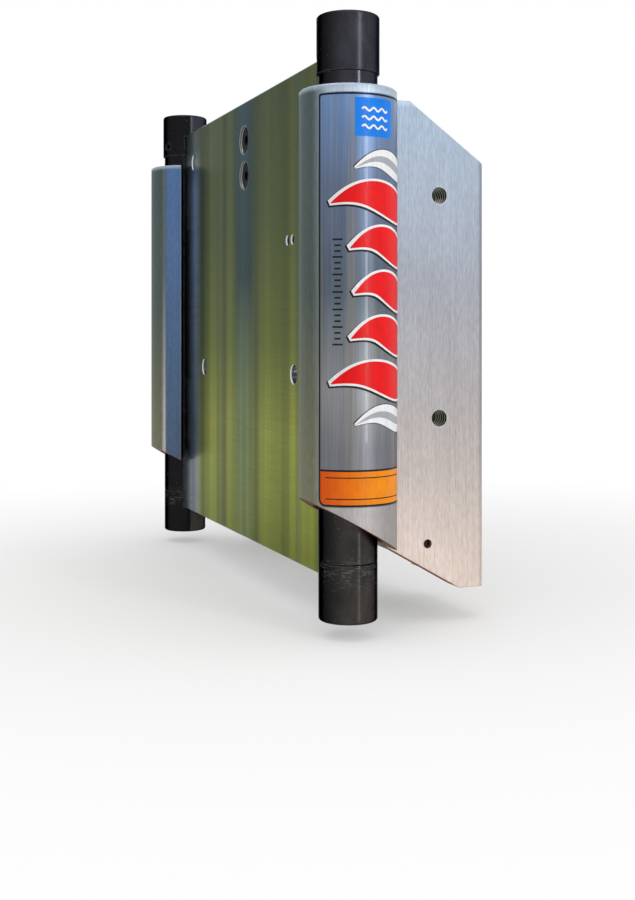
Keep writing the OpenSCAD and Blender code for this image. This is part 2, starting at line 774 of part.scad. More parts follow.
// Ear of the lift bracket seen along X, narrowing from its base to the pin
module lift_ear_profile() {
  pin = [ram_y, lift_pin_z];
  foot = [plate_front + lift_base_t, lift_base_z];
  head = [plate_front + lift_base_t, lift_base_z + lift_base_h];
  polygon([
    foot - [lift_base_t / 2, 0],
    foot,
    touch_point(foot, pin, eye_r, -1),
    pin,
    touch_point(head, pin, eye_r, 1),
    head,
    head - [lift_base_t / 2, 0]
  ]);
  translate(pin) circle(r = eye_r);
}

module lift_bracket() {
  color("silver") difference() {
    union() {
      translate([-lift_base_half_w, plate_front, lift_base_z])
        cube([2 * lift_base_half_w, lift_base_t, lift_base_h]);
      for (x = [ear_inner_x, -ear_outer_x])
        translate([x, 0, 0]) rotate([90, 0, 90]) linear_extrude(height = ear_t) lift_ear_profile();
    }
    translate([0, ram_y, lift_pin_z]) x_bar(pin_r + seat_clear / 2, 2 * (ear_outer_x + cut));
    for (z = lift_screw_zs)
      translate([0, plate_front - cut, z]) y_bar(lift_screw_r + seat_clear, lift_base_t + 2 * cut);
  }
}

module lift_bracket_screws() {
  head_r = lift_head_r - lift_head_clear;
  screw_l = plate_t - lift_head_recess + lift_base_t - lift_screw_end;
  color("dimgray") for (z = lift_screw_zs)
    translate([0, plate_back + lift_head_recess, z]) difference() {
      union() {
        flat_head(head_r, lift_screw_r);
        y_bar(lift_screw_r, screw_l);
      }
      translate([0, -cut, 0]) rotate([-90, 0, 0]) hex_bar(lift_socket_af, lift_socket_depth + cut);
    }
}

module ram_rod_eye() {
  color("dimgray") translate([0, ram_y, 0]) difference() {
    union() {
      ram_eye(lift_pin_z, boss_bottom + rod_boss_h / 2);
      translate([0, 0, boss_bottom]) cylinder(h = rod_boss_h, r = rod_boss_r);
    }
    translate([0, 0, lift_pin_z]) x_bar(pin_r + seat_clear / 2, eye_w + 2 * cut);
    translate([0, 0, boss_bottom - cut])
      cylinder(h = rod_tip_l + seat_clear + cut, r = rod_tip_r + seat_clear / 2);
  }
}

module ram_rod() {
  color("gainsboro") translate([0, ram_y, 0]) {
    translate([0, 0, piston_top]) cylinder(h = boss_bottom - piston_top, r = ram_rod_r);
    translate([0, 0, piston_bottom + end_room])
      cylinder(h = piston_h - end_room + lap, r = piston_thread_r);
    translate([0, 0, boss_bottom - lap]) cylinder(h = rod_tip_l + lap, r = rod_tip_r);
  }
}

module ram_piston() {
  outer = bore_r - ram_clear;
  color("gray") translate([0, ram_y, piston_bottom]) difference() {
    ring(outer, piston_thread_r + seat_clear / 2, piston_h);
    translate([0, 0, -cut]) cylinder(h = nut_h + nut_room + cut, r = nut_af / sqrt(3) + seat_clear);
    translate([0, 0, piston_h - 2 * seal_h]) ring(bore_r + cut, outer - seal_depth, seal_h);
  }
}

module piston_seal() {
  color("black") translate([0, ram_y, piston_top - 2 * seal_h + seat_clear / 2])
    ring(bore_r - ram_clear, bore_r - ram_clear - seal_depth + seat_clear / 2, seal_h - seat_clear);
}

module piston_nut() {
  color("dimgray") translate([0, ram_y, piston_bottom + nut_room]) difference() {
    hex_bar(nut_af, nut_h);
    translate([0, 0, -cut]) cylinder(h = nut_h + 2 * cut, r = piston_thread_r + seat_clear / 2);
  }
}

guide_bracket(1);  // guide_bracket_starboard
guide_bracket(-1);  // guide_bracket_port
guide_bushing(1, upper_bushing_z);  // upper_bushing_starboard
guide_bushing(-1, upper_bushing_z);  // upper_bushing_port
guide_bushing(1, lower_bushing_z);  // lower_bushing_starboard
guide_bushing(-1, lower_bushing_z);  // lower_bushing_port
bushing_set_screws();
lower_cross_beam();
beam_screws();
beam_locating_pins();
base_clevis();
base_clevis_screws();
ram_pin(base_pin_z);  // base_pin
pin_clips(base_pin_z);  // base_pin_clips
ram_base_cap();
ram_barrel();
ram_gland();
gland_seals();
port_adapters();
motor_plate();
slide_rod(1);  // slide_rod_starboard
slide_rod(-1);  // slide_rod_port
plate_edge_screws();
top_collar(1);  // top_collar_starboard
top_collar(-1);  // top_collar_port
collar_set_screws();
rod_end_plug(1);  // rod_end_plug_starboard
rod_end_plug(-1);  // rod_end_plug_port
plug_set_screws();
lift_bracket();
lift_bracket_screws();
ram_pin(lift_pin_z);  // lift_pin
pin_clips(lift_pin_z);  // lift_pin_clips
ram_rod_eye();
ram_rod();
ram_piston();
piston_seal();
piston_nut();
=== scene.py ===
import json
import math

import bmesh
import bpy
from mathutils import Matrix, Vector


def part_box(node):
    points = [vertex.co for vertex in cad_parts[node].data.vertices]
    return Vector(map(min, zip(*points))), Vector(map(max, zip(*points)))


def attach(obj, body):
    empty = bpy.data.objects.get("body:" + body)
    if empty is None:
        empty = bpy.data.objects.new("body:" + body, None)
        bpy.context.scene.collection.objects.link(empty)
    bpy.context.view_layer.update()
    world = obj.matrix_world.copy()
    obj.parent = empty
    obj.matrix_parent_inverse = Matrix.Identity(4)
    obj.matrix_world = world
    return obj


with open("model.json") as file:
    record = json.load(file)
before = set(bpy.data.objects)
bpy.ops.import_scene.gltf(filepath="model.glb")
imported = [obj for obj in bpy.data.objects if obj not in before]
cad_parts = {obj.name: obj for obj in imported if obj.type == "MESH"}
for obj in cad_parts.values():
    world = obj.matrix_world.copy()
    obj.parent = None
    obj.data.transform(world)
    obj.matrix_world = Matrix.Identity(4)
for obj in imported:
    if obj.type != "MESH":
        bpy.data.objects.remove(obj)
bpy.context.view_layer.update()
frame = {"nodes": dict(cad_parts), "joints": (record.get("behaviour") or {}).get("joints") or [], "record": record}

# Places that the CAD gives, in metres
FIXED = "transom_frame"
plate_low, plate_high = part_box("motor_plate")
bracket_low, bracket_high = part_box("guide_bracket_starboard")
plug_low, plug_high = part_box("rod_end_plug_starboard")
collar_low, collar_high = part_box("top_collar_starboard")
ROD_X = collar_high.x - (collar_high.y - collar_low.y) / 2
ROD_Y = (collar_low.y + collar_high.y) / 2
TUBE_R = bracket_high.x - ROD_X
TRAVEL_DOWN = -frame["joints"][0]["range_m"][0]


def linear(red, green, blue):
    """Scene colour of an sRGB colour given from 0 to 255."""
    def one(value):
        share = value / 255
        return share / 12.92 if share <= 0.04045 else ((share + 0.055) / 1.055) ** 2.4
    return (one(red), one(green), one(blue), 1.0)


WHITE = (1.0, 1.0, 1.0, 1.0)

# Range that holds most of a noise's values
NOISE_LOW = 0.3
NOISE_HIGH = 0.7

# Likeness of the true normal and the rounded one at a sharp edge and on an open face
EDGE_LIKENESS = 0.8
OPEN_LIKENESS = 0.97


class Graph:
    """Short calls for the nodes of one material or world."""

    def __init__(self, tree):
        self.tree = tree
        self.place = self.add("TexCoord")

    def put(self, socket, value):
        """Sets a socket to a number or colour, or links another node's output to it."""
        if isinstance(value, bpy.types.NodeSocket):
            self.tree.links.new(value, socket)
        else:
            socket.default_value = value

    def feed(self, node, inputs):
        """Gives a node its inputs, by name or number, and returns it."""
        for key, value in inputs.items():
            self.put(node.inputs[key], value)
        return node

    def add(self, kind, inputs=None, operation=None):
        """New node of a kind, with its inputs by name or number."""
        node = self.tree.nodes.new("ShaderNode" + kind)
        if operation:
            node.operation = operation
        return self.feed(node, inputs or {})

    def math(self, operation, first, second=0.0):
        """Result of an operation on one or two numbers."""
        return self.add("Math", {0: first, 1: second}, operation).outputs["Value"]

    def times(self, *factors):
        """Product of two or more factors."""
        product = factors[0]
        for factor in factors[1:]:
            product = self.math("MULTIPLY", product, factor)
        return product

    def within(self, value, reach):
        """Mask that is 1 where a value is less than reach from zero, on either side."""
        return self.math("LESS_THAN", self.math("ABSOLUTE", value), reach)

    def remap(self, value, low, high, to_low=0.0, to_high=1.0, smooth=False):
        """Value moved from one range to another, and kept within it."""
        node = self.add("MapRange", {"Value": value, "From Min": low, "From Max": high,
                                     "To Min": to_low, "To Max": to_high})
        node.interpolation_type = "SMOOTHSTEP" if smooth else "LINEAR"
        return node.outputs["Result"]

    def rise(self, value, start, end, most=1.0):
        """Smooth mask that rises from 0 to most between two values."""
        return self.remap(value, start, end, 0.0, most, smooth=True)

    def fall(self, value, start, end):
        """Smooth mask that falls from 1 to 0 between two values."""
        return self.remap(value, start, end, 1.0, 0.0, smooth=True)

    def vary(self, noise, low=0.0, high=1.0):
        """A noise, spread over the range between two values."""
        return self.remap(noise, NOISE_LOW, NOISE_HIGH, low, high)

    def mix_shader(self, share, first, second):
        """Mix of two shaders."""
        return self.add("MixShader", {0: share, 1: first, 2: second}).outputs["Shader"]

    def finds_white(self):
        """1 for the rays that find white: the camera's own, and those mirrored or let through."""
        path = self.add("LightPath")
        share = path.outputs["Is Camera Ray"]
        for kind in ("Is Glossy Ray", "Is Transmission Ray"):
            share = self.math("MAXIMUM", share, path.outputs[kind])
        return share


class Finish(Graph):
    """One material, with the numbers of its shader. What done() links takes the place of a number."""

    def __init__(self, name, inputs):
        self.material = bpy.data.materials.new(name)
        self.material.use_nodes = True
        super().__init__(self.material.node_tree)
        self.shader = self.feed(self.tree.nodes["Principled BSDF"], inputs)

    def noise(self, scale, detail=2.0, rough=0.5):
        """Noise from 0 to 1 whose scale is in features per metre along X, Y and Z."""
        mapping = self.add("Mapping", {"Vector": self.place.outputs["Object"], "Scale": scale})
        noise = self.add("TexNoise", {"Vector": mapping.outputs["Vector"], "Scale": 1.0, "Detail": detail,
                                      "Roughness": rough, "Distortion": 0.0})
        return noise.outputs["Fac"]

    def axes(self, output="Object"):
        """X, Y and Z of the point, or of the normal, in the frame of the piece."""
        node = self.add("SeparateXYZ", {"Vector": self.place.outputs[output]})
        return node.outputs["X"], node.outputs["Y"], node.outputs["Z"]

    def turn(self):
        """Turn about the nearer rod from straight outboard, through aft, in radians."""
        x, y, _ = self.axes()
        outboard = self.math("SUBTRACT", self.math("ABSOLUTE", x), ROD_X)
        return self.math("ARCTAN2", self.math("SUBTRACT", ROD_Y, y), outboard)

    def ramp(self, value, stops):
        """Colour ramp of (position, colour) stops."""
        node = self.add("ValToRGB", {"Fac": value})
        elements = node.color_ramp.elements
        while len(elements) < len(stops):
            elements.new(0.5)
        for element, (position, colour) in zip(elements, stops):
            element.position = position
            element.color = colour
        return node.outputs["Color"]

    def mix(self, share, first, second):
        """Mix of two colours, whose sockets come seventh and eighth in the node."""
        node = self.add("Mix")
        node.data_type = "RGBA"
        return self.feed(node, {"Factor": share, 6: first, 7: second}).outputs[2]

    def scale_colour(self, colour, factor):
        """Colour multiplied by a factor that is a node's output."""
        vector = colour if isinstance(colour, bpy.types.NodeSocket) else colour[:3]
        return self.add("VectorMath", {0: vector, "Scale": factor}, "SCALE").outputs["Vector"]

    def rounded_normal(self, radius, samples):
        """Normal of the surface as if its edges were rounded by radius metres."""
        bevel = self.add("Bevel", {"Radius": radius})
        bevel.samples = samples
        return bevel.outputs["Normal"]

    def bump(self, height, depth, strength, edge=0.0):
        """Bump from a height of 0 to 1 that is depth metres tall, over edges rounded by edge metres."""
        node = self.add("Bump", {"Strength": strength, "Distance": depth, "Height": height})
        if edge:
            self.feed(node, {"Normal": self.rounded_normal(edge, samples=4)})
        self.feed(self.shader, {"Normal": node.outputs["Normal"]})

    def edges(self, radius, most=1.0):
        """Mask that is most within radius metres of a sharp edge and 0 on open faces."""
        surface = self.add("NewGeometry")
        likeness = self.add("VectorMath", {0: self.rounded_normal(radius, samples=6),
                                           1: surface.outputs["Normal"]}, "DOT_PRODUCT")
        return self.remap(likeness.outputs["Value"], EDGE_LIKENESS, OPEN_LIKENESS, most, 0.0)

    def done(self, colour, roughness):
        """The material, with its colour and roughness linked or set."""
        self.feed(self.shader, {"Base Color": colour, "Roughness": roughness})
        return self.material


# Grain of brushed metal: features per metre along X, Y and Z
UPRIGHT_GRAIN = (1400, 1400, 14)
UPRIGHT_STREAKS = (120, 120, 1.5)
UPRIGHT_DASHES = (800, 800, 150)
CROSS_GRAIN = (22, 1500, 1500)
CROSS_STREAKS = (2, 160, 160)

# Parts of a face's normal along an axis: less than the first along the axis of a hole or rod is a wall, more than
# the second along Y is a broad face of the plate, and downward ones get a painted copper brown reflection of the
# ground
WALL_LIMIT = 0.5
FACE_LIMIT = 0.95
UNDERSIDE_FULL = -0.5
UNDERSIDE_END = -0.3

# Turns about the tube, as turn() gives them: where its shaded aft side fades in and where the painted sky
# reflection on its inboard lip begins and fades in
SHADE_START = math.radians(38)
SHADE_END = math.radians(70)
LIP_TURN = math.radians(128)
LIP_FADE = math.radians(6)

# Painted highlight line along the lip: how far it reaches to either side, its strengths, and the shares of the
# bracket's height at which it has them
LINE_BEFORE = math.radians(7)
LINE_AFTER = math.radians(4)
LINE_FULL = 0.85
LINE_FAINT = 0.12
LINE_FULL_SHARE = 0.2
LINE_FAINT_SHARE = 0.7

# Share of the tube's radius, forward of the rod, at which the tube's colours start to give way to the web's
TUBE_SHARE = 0.9

# Painted highlight in a band at the top of the brackets: where it starts and is full below their top
RIM_START = 0.005
RIM_FULL = 0.0015

# Threaded side holes of the brackets, whose bores get rings of painted light and shade for the thread, and the
# shares of the bracket's height between which they lie
SIDE_HOLE_Y = -0.0379
SIDE_HOLE_R = 0.0068
SIDE_HOLE_RIM = 0.002
THREAD_RINGS = 0.0036
THREADED_FROM_SHARE = 0.21
THREADED_TO_SHARE = 0.85
FADE_SHARE = 0.01


def bracket_colour(g, y, z, height):
    """Colours of the web and of the tube from the foot to the top: painted reflections, warm at the foot and cool
    at the top, a painted shade on the tube's aft side, a painted sky reflection and a painted highlight line on
    its inboard edge, and a painted highlight band at the top.
    """
    # Painted reflections of the ground and the sky, on the web and on the tube below: warm at the foot, cool
    # grey-blue at the top
    web = g.ramp(height, [
        (0.0, linear(212, 197, 187)),
        (0.35, linear(162, 157, 156)),
        (0.65, linear(144, 148, 157)),
        (1.0, linear(145, 160, 176)),
    ])
    tube = g.ramp(height, [
        (0.0, linear(172, 166, 162)),
        (0.5, linear(160, 163, 167)),
        (1.0, linear(184, 196, 208)),
    ])
    shaded = g.ramp(height, [
        (0.0, linear(133, 129, 109)),
        (0.3, linear(113, 114, 94)),
        (0.6, linear(81, 92, 88)),
        (1.0, linear(79, 92, 94)),
    ])
    # Painted sky reflection on the tube's inboard lip
    lip_sky_reflection = g.ramp(height, [
        (0.0, linear(86, 100, 122)),
        (0.4, linear(84, 105, 134)),
        (1.0, linear(91, 121, 165)),
    ])
    turn = g.turn()
    tube = g.mix(g.rise(turn, SHADE_START, SHADE_END), tube, shaded)
    tube = g.mix(g.rise(turn, LIP_TURN, LIP_TURN + LIP_FADE), tube, lip_sky_reflection)
    # Painted highlight: a bright line along the lip
    line = g.times(g.rise(turn, LIP_TURN - LINE_BEFORE, LIP_TURN),
                   g.fall(turn, LIP_TURN, LIP_TURN + LINE_AFTER),
                   g.remap(height, LINE_FULL_SHARE, LINE_FAINT_SHARE, LINE_FULL, LINE_FAINT))
    tube = g.mix(line, tube, linear(196, 194, 198))
    on_tube = g.fall(y, ROD_Y + TUBE_R * TUBE_SHARE, ROD_Y + TUBE_R)
    # Painted highlight in a band just below the top of the brackets
    rim_highlight = g.rise(z, bracket_high.z - RIM_START, bracket_high.z - RIM_FULL, most=0.75)
    return g.mix(rim_highlight, g.mix(on_tube, web, tube), linear(168, 182, 198))


def bracket_aluminium():
    """Extruded tube and web: painted reflections, cool grey at the top and warm at the foot, with upright
    brushing, threaded holes whose bores show painted light and shade of the thread, bright edges that are plain
    metal with painted highlights, and a painted copper brown ground reflection on downward faces."""
    g = Finish("bracket_aluminium", {"Metallic": 1.0, "Roughness": 0.3})
    x, y, z = g.axes()
    normal_x, _, normal_z = g.axes("Normal")
    height = g.remap(z, bracket_low.z, bracket_high.z)
    grain = g.noise(UPRIGHT_GRAIN, detail=3, rough=0.6)
    streaks = g.noise(UPRIGHT_STREAKS)
    dashes = g.noise(UPRIGHT_DASHES)
    patches = g.noise((14, 14, 9), detail=3)
    tone = g.times(g.vary(grain, 0.92, 1.08), g.vary(streaks, 0.95, 1.05), g.vary(dashes, 0.9, 1.1),
                   g.vary(patches, 0.93, 1.06))
    colour = g.scale_colour(bracket_colour(g, y, z, height), tone)

    from_hole = g.math("SUBTRACT", y, SIDE_HOLE_Y)
    above = g.remap(height, THREADED_FROM_SHARE - FADE_SHARE, THREADED_FROM_SHARE + FADE_SHARE)
    below = g.remap(height, THREADED_TO_SHARE - FADE_SHARE, THREADED_TO_SHARE + FADE_SHARE, 1.0, 0.0)
    in_bore = g.times(g.within(from_hole, SIDE_HOLE_R), g.within(normal_x, WALL_LIMIT), above, below)
    # Painted highlight: a white ring around each side hole
    hole_rim_highlight = g.times(g.within(from_hole, SIDE_HOLE_R + SIDE_HOLE_RIM), above, below)
    # Painted light and shade of the thread: rings of dark grooves and bright crests in the bores
    thread_light_and_shade = g.remap(g.math("SINE", g.times(x, math.tau / THREAD_RINGS)), -0.3, 0.3)
    colour = g.mix(in_bore, colour, g.mix(thread_light_and_shade, linear(12, 13, 13), linear(255, 255, 252)))

    # Plain metal with painted highlights at sharp edges, and a painted copper reflection of the ground on the
    # edges near the foot
    edge_metal_and_highlight = g.ramp(height, [
        (0.0, linear(190, 112, 66)),
        (0.25, linear(188, 130, 92)),
        (0.5, linear(206, 210, 214)),
        (1.0, linear(204, 216, 228)),
    ])
    edge_metal_and_highlight = g.mix(hole_rim_highlight, edge_metal_and_highlight, linear(252, 253, 255))
    colour = g.mix(g.edges(radius=0.001, most=0.85), colour, edge_metal_and_highlight)
    # Painted copper brown reflection of the ground on downward faces
    underside_reflection = g.times(g.fall(normal_z, UNDERSIDE_FULL, UNDERSIDE_END), g.math("SUBTRACT", 1.0, in_bore))
    colour = g.mix(underside_reflection, colour, linear(112, 62, 40))
    g.bump(grain, depth=0.00003, strength=0.5, edge=0.0007)
    return g.done(colour, g.vary(streaks, 0.53, 0.58))


# Bands of the motor plate, as X: a painted reflection down its middle and a painted light band at its port end;
# and the field of its countersunk screws: half its width and how far it lies below the plate's top
MIDDLE_REFLECTION_FULL = 0.012
MIDDLE_REFLECTION_END = 0.036
PORT_LIGHT_FULL_X = -0.165
PORT_LIGHT_END_X = -0.135
SCREW_FIELD_HALF = 0.015
SCREW_FIELD_DROP = 0.01


def plate_aluminium():
    """Motor plate: yellow-green faces that darken to olive at the top, with a painted bluish reflection down the
    middle and a painted light band at the port end, and plain metal with painted highlights at edges and holes.
    """
    g = Finish("plate_aluminium", {"Metallic": 1.0, "Roughness": 0.25,
                                   "Specular Tint": linear(190, 194, 198)})
    x, _, z = g.axes()
    normal_y = g.axes("Normal")[1]
    height = g.remap(z, plate_low.z, plate_high.z)
    face = g.ramp(height, [
        (0.0, linear(134, 140, 52)),
        (0.25, linear(146, 151, 66)),
        (0.45, linear(108, 115, 50)),
        (0.7, linear(90, 97, 50)),
        (1.0, linear(80, 87, 50)),
    ])
    # Painted reflection: a bluish band down the middle of the plate, darker towards the top
    middle_reflection = g.ramp(height, [
        (0.0, linear(126, 137, 72)),
        (0.3, linear(120, 131, 88)),
        (0.6, linear(57, 71, 68)),
        (1.0, linear(56, 76, 79)),
    ])
    # Painted light: a bright band at the port end, where the plate mirrors the dark far tube, so that its
    # reflection shows lighter; it darkens at the top
    port_end_light = g.ramp(height, [
        (0.0, linear(210, 220, 228)),
        (0.85, linear(226, 240, 255)),
        (0.95, linear(124, 136, 134)),
    ])
    colour = g.mix(g.fall(g.math("ABSOLUTE", x), MIDDLE_REFLECTION_FULL, MIDDLE_REFLECTION_END), face, middle_reflection)
    colour = g.mix(g.fall(x, PORT_LIGHT_FULL_X, PORT_LIGHT_END_X), colour, port_end_light)
    broad = g.noise((26, 26, 0.5))
    fine = g.noise((90, 90, 0.8))
    grain = g.noise(CROSS_GRAIN, detail=3, rough=0.6)
    cooler = g.noise((41, 41, 0.6), detail=1)
    colour = g.mix(g.remap(cooler, 0.5, 0.72, 0.0, 0.6), colour, linear(62, 72, 66))
    tone = g.times(g.vary(broad, 0.74, 1.26), g.vary(fine, 0.86, 1.14), g.vary(grain, 0.88, 1.12))
    broad_face = g.math("GREATER_THAN", g.math("ABSOLUTE", normal_y), FACE_LIMIT)
    by_screws = g.times(g.within(x, SCREW_FIELD_HALF),
                        g.math("LESS_THAN", z, plate_high.z - SCREW_FIELD_DROP))
    # Plain metal on edges and hole walls, with a painted highlight along the edges; both duller in the field of
    # the screws
    cut = g.mix(by_screws, linear(196, 200, 204), WHITE)
    rim_highlight = g.mix(by_screws, linear(206, 210, 208), WHITE)
    colour = g.mix(broad_face, cut, g.scale_colour(colour, tone))
    colour = g.mix(g.edges(radius=0.0007, most=0.8), colour, rim_highlight)
    g.bump(grain, depth=0.000004, strength=0.15, edge=0.0005)
    return g.done(colour, g.vary(grain, 0.22, 0.27))


def mill_aluminium():
    """Beam, lift bracket and clevis: satin metal, brushed along X."""
    g = Finish("mill_aluminium", {"Metallic": 1.0, "Roughness": 0.35})
    grain = g.noise(CROSS_GRAIN, detail=3, rough=0.6)
    streaks = g.noise(CROSS_STREAKS)
    tone = g.times(g.vary(grain, 0.9, 1.1), g.vary(streaks, 0.93, 1.07))
    g.bump(grain, depth=0.00003, strength=0.5, edge=0.0007)
    return g.done(g.scale_colour(linear(172, 176, 180), tone), g.vary(streaks, 0.3, 0.42))


# Scuffs at the seam of the end plug: how far their middle lies below the plug's top, and the distances from
# there at which they are full and gone
SEAM_DROP = 0.006
SEAM_FULL = 0.002
SEAM_END = 0.014

# Turns about the rod between which a painted shade darkens the black parts towards their aft side
AFT_SHADE_START = math.radians(15)
AFT_SHADE_END = math.radians(70)


def black_anodised():
    """Black hard coat with turning marks, gritty collars, specks, rubbed edges, a scuffed lower seam and a painted
    shade on the aft side.
    """
    g = Finish("black_anodised", {"Metallic": 1.0, "Roughness": 0.2, "Specular Tint": linear(150, 150, 154),
                                  "Anisotropic": 0.9, "Anisotropic Rotation": 0.25})
    z = g.axes()[2]
    on_wall = g.within(g.axes("Normal")[2], WALL_LIMIT)
    turning = g.noise((6, 6, 2600))
    grit = g.noise((1500, 1500, 1500))
    patches = g.noise((60, 60, 40), detail=4, rough=0.65)
    spots = g.remap(patches, 0.35, 0.7)
    foot = g.mix(spots, linear(52, 51, 50), linear(72, 67, 64))
    head = g.mix(spots, linear(52, 52, 58), linear(68, 68, 77))
    base = g.mix(g.remap(z, plug_high.z, collar_low.z), foot, head)
    # Painted shade darkens the aft side of the rods, collars and plugs
    base = g.mix(g.times(g.rise(g.turn(), AFT_SHADE_START, AFT_SHADE_END), on_wall), base, linear(29, 29, 31))

    from_seam = g.math("ABSOLUTE", g.math("SUBTRACT", z, plug_high.z - SEAM_DROP))
    scuffs = g.remap(g.noise((160, 160, 1500), detail=3, rough=0.7), 0.56, 0.7)
    specks = g.remap(g.noise((700, 700, 500)), 0.68, 0.78)
    rubbed = g.times(g.edges(radius=0.0011), g.remap(g.noise((260, 260, 260), detail=3), 0.3, 0.6))
    worn = g.math("MAXIMUM", g.times(g.fall(from_seam, SEAM_FULL, SEAM_END), scuffs), g.times(specks, 0.5))
    worn = g.math("MAXIMUM", worn, rubbed)
    colour = g.mix(g.times(worn, 0.7), base, linear(138, 138, 138))
    collar = g.math("GREATER_THAN", z, collar_low.z)
    g.bump(g.mix(collar, g.times(turning, 0.25), grit), depth=0.00004, strength=0.4, edge=0.0006)
    return g.done(colour, g.math("ADD", g.vary(patches, 0.2, 0.26), g.times(collar, 0.14)))


def bushing_plastic():
    """Cream plastic with a slight mottling."""
    g = Finish("bushing_plastic", {"Metallic": 0.0, "Roughness": 0.5})
    mottling = g.noise((220, 220, 90), detail=3)
    colour = g.mix(g.vary(mottling), linear(214, 208, 190), linear(232, 228, 214))
    g.bump(mottling, depth=0.00003, strength=0.5, edge=0.0003)
    return g.done(colour, g.vary(mottling, 0.42, 0.58))


def black_steel():
    """Oxide-black steel with a slight mottling."""
    g = Finish("black_steel", {"Metallic": 0.8, "Roughness": 0.34, "Specular Tint": linear(90, 90, 92)})
    mottling = g.noise((380, 380, 380), detail=4, rough=0.6)
    colour = g.mix(g.remap(mottling, 0.35, 0.7), linear(26, 26, 28), linear(54, 54, 58))
    g.bump(mottling, depth=0.00002, strength=0.4, edge=0.0004)
    return g.done(colour, g.vary(mottling, 0.28, 0.44))


def ram_paint():
    """Gloss black paint with a faint orange peel."""
    g = Finish("ram_paint", {"Metallic": 0.0, "Roughness": 0.22, "Coat Weight": 0.5})
    peel = g.noise((520, 520, 520))
    patches = g.noise((70, 70, 30), detail=3)
    colour = g.mix(g.vary(patches), linear(16, 17, 19), linear(30, 31, 34))
    g.bump(peel, depth=0.00003, strength=0.3, edge=0.0005)
    return g.done(colour, g.vary(patches, 0.18, 0.3))


def turned_metal(name, colour, roughness):
    """Bright metal with fine turning marks around Z and slight stains."""
    g = Finish(name, {"Metallic": 1.0, "Roughness": roughness})
    marks = g.noise((300, 300, 2400))
    stains = g.noise((90, 90, 60), detail=3)
    tone = g.times(g.vary(marks, 0.93, 1.07), g.vary(stains, 0.88, 1.06))
    g.bump(marks, depth=0.00001, strength=0.3, edge=0.0004)
    return g.done(g.scale_colour(colour, tone), g.vary(stains, roughness - 0.04, roughness + 0.08))


def seal_rubber():
    """Black rubber with a little dust."""
    g = Finish("seal_rubber", {"Metallic": 0.0, "Roughness": 0.6})
    dust = g.noise((400, 400, 400), detail=3)
    g.bump(dust, depth=0.00003, strength=0.4)
    colour = g.mix(g.remap(dust, 0.4, 0.75), linear(14, 14, 14), linear(44, 43, 42))
    return g.done(colour, g.vary(dust, 0.5, 0.7))


def brushed_film():
    """Film of the decal under a clear coat: brushed silvery metal with warm streaks, bluish at the top from a
    painted sky reflection, a painted highlight band below the middle, and greyer below.
    """
    g = Finish("decal_film", {"Metallic": 1.0, "Roughness": 0.26, "Coat Weight": 0.3})
    height = g.remap(g.axes()[2], bracket_low.z, bracket_high.z)
    # Painted sky reflection makes the top bluish, and the light stop below the middle is a painted highlight
    silver_with_painted_light = g.ramp(height, [
        (0.0, linear(108, 108, 116)),
        (0.3, linear(116, 117, 123)),
        (0.42, linear(134, 136, 139)),
        (0.6, linear(86, 97, 109)),
        (0.8, linear(96, 110, 134)),
        (1.0, linear(112, 142, 186)),
    ])
    warm = g.remap(g.noise((100, 100, 3)), 0.5, 0.68, 0.0, 0.4)
    silver_with_painted_light = g.mix(warm, silver_with_painted_light, linear(128, 121, 106))
    grain = g.noise(UPRIGHT_GRAIN, detail=3, rough=0.6)
    streaks = g.noise(UPRIGHT_STREAKS)
    patches = g.noise((30, 30, 12), detail=3)
    tone = g.times(g.vary(grain, 0.84, 1.16), g.vary(streaks, 0.86, 1.14), g.vary(patches, 0.86, 1.12))
    g.bump(grain, depth=0.00002, strength=0.4)
    return g.done(g.scale_colour(silver_with_painted_light, tone), g.vary(streaks, 0.4, 0.5))


# Share of the tube's radius, forward of the rod, at which an ink is fully its second colour
BLEND_SHARE = 0.2


def printed(name, colour, forward=None):
    """Printed ink, blended towards a second colour on the forward side, under a clear laminate that shows
    faint brushing and mottling."""
    g = Finish(name, {"Metallic": 0.0, "Roughness": 0.4, "Specular IOR Level": 0.2, "Coat Weight": 0.04})
    brushing = g.noise(UPRIGHT_GRAIN)
    mottling = g.noise((160, 160, 120), detail=3)
    tone = g.times(g.vary(brushing, 0.94, 1.06), g.vary(mottling, 0.92, 1.06))
    if forward:
        share = g.remap(g.axes()[1], ROD_Y - TUBE_R, ROD_Y + TUBE_R * BLEND_SHARE)
        colour = g.mix(share, colour, forward)
    g.bump(brushing, depth=0.00001, strength=0.3)
    return g.done(g.scale_colour(colour, tone), g.vary(mottling, 0.34, 0.46))


FINISHES = {
    "bracket_aluminium": bracket_aluminium(),
    "plate_aluminium": plate_aluminium(),
    "mill_aluminium": mill_aluminium(),
    "black_anodised": black_anodised(),
    "bushing_plastic": bushing_plastic(),
    "black_steel": black_steel(),
    "pin_steel": turned_metal("pin_steel", linear(176, 178, 182), 0.25),
    "ram_paint": ram_paint(),
    "ram_alloy": turned_metal("ram_alloy", linear(150, 152, 156), 0.32),
    "chrome_rod": turned_metal("chrome_rod", linear(214, 216, 220), 0.1),
    "brass_fitting": turned_metal("brass_fitting", linear(196, 160, 96), 0.28),
    "seal_rubber": seal_rubber(),
}
slot_of = {part["node"]: part["material_slot"] for part in frame["record"]["subparts"]}
for name, node in frame["nodes"].items():
    node.data.materials.clear()
    node.data.materials.append(FINISHES[slot_of[name]])


# Decal on the starboard guide tube. Its shapes are drawn on the unrolled tube in metres: s runs around the
# tube from straight outboard towards the transom, z runs up.
DECAL_LEFT = math.radians(-58.7) * TUBE_R
DECAL_RIGHT = math.radians(66) * TUBE_R
DECAL_TOP = 0.0783
DECAL_FOOT = -0.2068
SMALL_CORNER = 0.0015
SLANT_CORNER = 0.0055
BORDER_INSET = 0.0006
BORDER_WIDTH = 0.0013
BORDER_INNER = BORDER_INSET + BORDER_WIDTH

